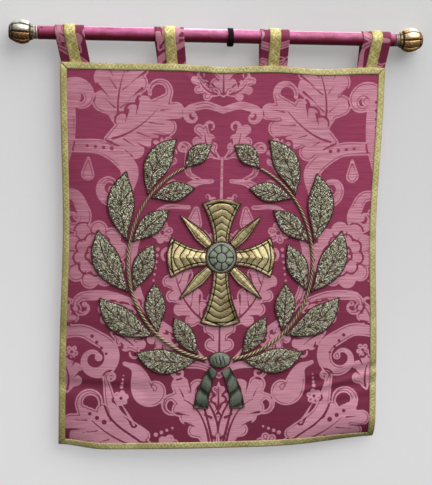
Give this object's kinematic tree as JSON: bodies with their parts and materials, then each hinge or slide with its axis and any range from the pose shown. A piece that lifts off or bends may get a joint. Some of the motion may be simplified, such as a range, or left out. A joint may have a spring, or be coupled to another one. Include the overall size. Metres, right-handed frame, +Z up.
{
  "type": "church banner and rod",
  "caption": "Hanging church banner of crimson damask edged with gold braid, with a padded leaf wreath and cross, on cloth tabs over a cloth-covered rod with gilt finials.",
  "frame": {"origin": "on the rod's axis, in the middle of the black band that it hangs by", "axes": "+Z up, +X along the rod to the right seen from the front, and the embroidered front faces -Y"},
  "size_m": [0.7394, 0.0444, 0.7699],
  "materials": {
    "damask": "satin damask, paler figure on a crimson ground",
    "gold_braid": "woven pale gold metal thread",
    "satin_rod": "dowel covered in glossy pink satin",
    "gilt_wood": "worn antique gilding",
    "collar_metal": "pale silvery",
    "black_band": "matt black",
    "metal_thread": "grey-gold bullion thread",
    "gold_relief": "padded antique gold thread",
    "dark_thread": "dark pewter-green thread"
  },
  "bodies": {
    "root": {"band": "black_band", "boss": "dark_thread", "braid_bottom": "gold_braid", "braid_left": "gold_braid", "braid_right": "gold_braid", "braid_top": "gold_braid", "collar_left": "collar_metal", "collar_right": "collar_metal", "cross_bottom": "gold_relief", "cross_left": "gold_relief", "cross_right": "gold_relief", "cross_top": "gold_relief", "finial_left": "gilt_wood", "finial_right": "gilt_wood", "knot": "dark_thread", "leaf_left_inner_1": "metal_thread", "leaf_left_inner_2": "metal_thread", "leaf_left_inner_3": "metal_thread", "leaf_left_inner_4": "metal_thread", "leaf_left_inner_5": "metal_thread", "leaf_left_outer_1": "metal_thread", "leaf_left_outer_2": "metal_thread", "leaf_left_outer_3": "metal_thread", "leaf_left_outer_4": "metal_thread", "leaf_left_outer_5": "metal_thread", "leaf_left_tip": "metal_thread", "leaf_right_inner_1": "metal_thread", "leaf_right_inner_2": "metal_thread", "leaf_right_inner_3": "metal_thread", "leaf_right_inner_4": "metal_thread", "leaf_right_inner_5": "metal_thread", "leaf_right_outer_1": "metal_thread", "leaf_right_outer_2": "metal_thread", "leaf_right_outer_3": "metal_thread", "leaf_right_outer_4": "metal_thread", "leaf_right_outer_5": "metal_thread", "leaf_right_tip": "metal_thread", "panel": "damask", "ray_1": "gold_relief", "ray_2": "gold_relief", "ray_3": "gold_relief", "ray_4": "gold_relief", "ribbon_left": "dark_thread", "ribbon_right": "dark_thread", "rod": "satin_rod", "stem_left": "metal_thread", "stem_right": "metal_thread", "tab_1": "damask", "tab_2": "damask", "tab_3": "damask", "tab_4": "damask", "tab_braid_1": "gold_braid", "tab_braid_2": "gold_braid", "tab_braid_3": "gold_braid", "tab_braid_4": "gold_braid"}
  },
  "joints": []
}
